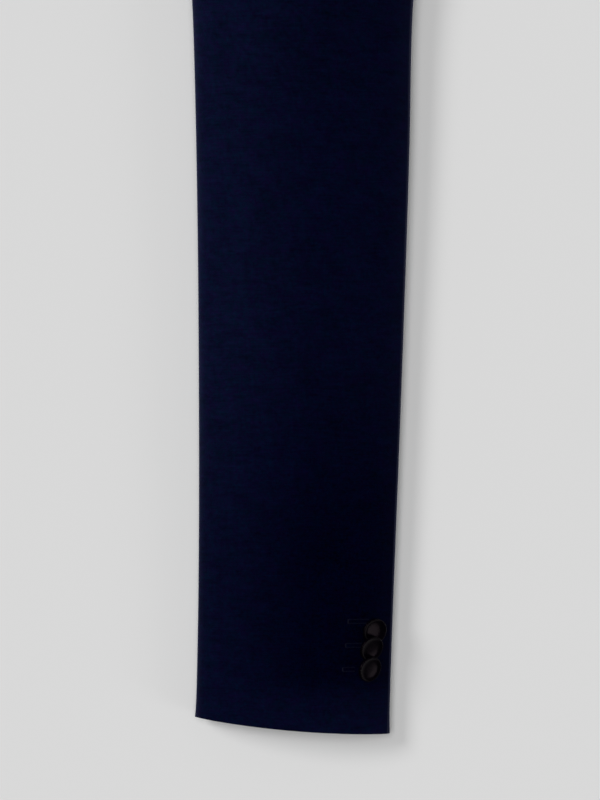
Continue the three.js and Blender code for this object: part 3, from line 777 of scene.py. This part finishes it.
def makeButton(node, name):
    # The CAD button gives the place, axis, radius and height
    places = points(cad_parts[node])
    middle = places.mean(axis=0)
    axis = Vector(np.linalg.eigh(np.cov((places - middle).T))[1][:, 0])
    if axis.z < 0:
        axis = -axis
    heights = (places - middle) @ np.array(axis)
    base, height = heights.min(), heights.max() - heights.min()
    radius = np.linalg.norm(places - middle - np.outer(heights, np.array(axis)), axis=1).max()
    (share, level), *rest = buttonOutline
    bpy.ops.object.select_all(action="DESELECT")
    bpy.ops.mesh.primitive_circle_add(vertices=button["sides"], radius=radius * share, fill_type="NGON")
    piece = bpy.context.object
    piece.name = name
    bpy.ops.object.mode_set(mode="EDIT")
    bpy.ops.mesh.select_all(action="SELECT")
    for nextShare, nextLevel in rest:
        rise = (nextLevel - level) * height
        bpy.ops.mesh.extrude_region_move(TRANSFORM_OT_translate={"value": (0, 0, rise)})
        bpy.ops.transform.resize(value=(nextShare / share, nextShare / share, 1))
        share, level = nextShare, nextLevel
    bpy.ops.mesh.select_all(action="SELECT")
    bpy.ops.mesh.normals_make_consistent(inside=False)
    bpy.ops.object.mode_set(mode="OBJECT")
    addModifier(piece, "SUBSURF", {"levels": button["levels"], "render_levels": button["levels"]})

    # Smoothing shrinks it, so it is grown back; then the satin is gathered round its rim
    places = points(piece)
    around = np.hypot(places[:, 0], places[:, 1])
    grown = radius / around.max()
    rim = easeIn(around * grown / radius, *button["gatherShares"])
    turn = np.arctan2(places[:, 1], places[:, 0])
    pleat = np.sin(turn * button["gathers"] + button["gatherSway"] * np.sin(turn * button["sways"]))
    places[:, :2] *= (grown + rim * pleat * button["gatherDepth"] / radius)[:, None]
    setWeaveMap(piece, places[:, :2].copy())

    # It is turned to the CAD button's axis, with the satin's floats down the sleeve or the front
    onSleeve = abs(middle[0]) >= plan["underarm"][0]
    grain = Vector((sleeveAxis[0] * np.sign(middle[0]), sleeveAxis[1], 0)) if onSleeve else Vector((0, -1, 0))
    grain = (grain - axis * grain.dot(axis)).normalized()
    turned = np.array([axis.cross(grain), -grain, axis])
    setPoints(piece, places @ turned + middle + base * np.array(axis))
    dress(piece, [buttonFinish])
    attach(piece, "root")
    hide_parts(node)


for word in ("left", "right"):
    for number in (1, 2, 3):
        makeButton(f"cuff_button_{word}_{number}", f"cuff_button_satin_{word}_{number}")
makeButton("front_button", "front_button_satin")
print("buttons made")


# Buttonholes: two lips of close stitches with a bar tack across the end away from the edge

stitch = {  # millimetres
    "pitch": 0.55,
    "long": 1.0,
    "thick": 0.34,
    "first": 0.8,
    "lipGap": 2.3,
    "tackLong": 3.4,
    "tackPitch": 0.272,
    "tackRows": 3,
    "sunk": 0.08,
}


def stitchRow(count, pitch, long, start):
    bpy.ops.object.select_all(action="DESELECT")
    bpy.ops.mesh.primitive_uv_sphere_add(segments=8, ring_count=6, radius=0.5)
    row = bpy.context.object
    row.scale = (stitch["thick"] * mm, long * mm, stitch["thick"] * mm)
    bpy.ops.object.transform_apply(location=True, rotation=True, scale=True)
    addModifier(row, "ARRAY", {"count": count, "use_relative_offset": False, "use_constant_offset": True,
                               "constant_offset_displace": (pitch * mm, 0, 0)})
    setPoints(row, points(row) + np.array(start) * mm)
    return row


def makeButtonhole(name, cloth, tack, way, length):
    # `tack` is the place of the bar tack in the plan and `way` points from it to the open end
    across = np.array((-way[1], way[0]))
    count = round(length / stitch["pitch"])
    half = stitch["lipGap"] / 2
    rows = []
    for lip in (-half, half):
        rows.append(stitchRow(count, stitch["pitch"], stitch["long"], (stitch["first"], lip, 0)))
    rows.append(stitchRow(stitch["tackRows"], stitch["tackPitch"], stitch["tackLong"], (0, 0, 0)))
    for row in rows:
        row.select_set(True)
    bpy.context.view_layer.objects.active = rows[0]
    bpy.ops.object.join()
    piece = bpy.context.object
    piece.name = name
    # Each point is laid on the cloth straight below it
    surface = BVHTree.FromObject(cloth, bpy.context.evaluated_depsgraph_get())
    places = []
    for x, y, z in points(piece):
        spot = np.array(tack) + np.array(way) * x + across * y
        hit = surface.ray_cast(Vector((*spot, 1.0)), Vector((0, 0, -1)))[0]
        places.append((*spot, hit.z + z - stitch["sunk"] * mm))
    setPoints(piece, np.array(places))
    clearMaps(piece)
    dress(piece, [threadFinish])
    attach(piece, "root")


# Cuff buttonholes in millimetres: distance down the sleeve, across to the tack, and length
cuffHoles = {1: (434.6, 90.3, 12.0), 2: (448.9, 88.8, 9.6), 3: (463.2, 87.0, 7.2)}
for side, word in ((1, "left"), (-1, "right")):
    sleeve = cloths[f"top_sleeve_{word}"]
    outwards = (sleeveAcross[0] * side, sleeveAcross[1])
    for number, (along, across, length) in cuffHoles.items():
        tack = fromSleeve(along * mm, across * mm, side)
        makeButtonhole(f"cuff_buttonhole_{word}_{number}", sleeve, tack, outwards, length)

# The front one in millimetres: from the centre line to its tack, up from the hem, and length
frontHole = {"out": 21, "up": 340, "length": 12.0}
frontTack = (frontHole["out"] * mm, plan["hem"] + frontHole["up"] * mm)
makeButtonhole("front_buttonhole", cloths["front_left"], frontTack, (-1, 0), frontHole["length"])
print("buttonholes made")
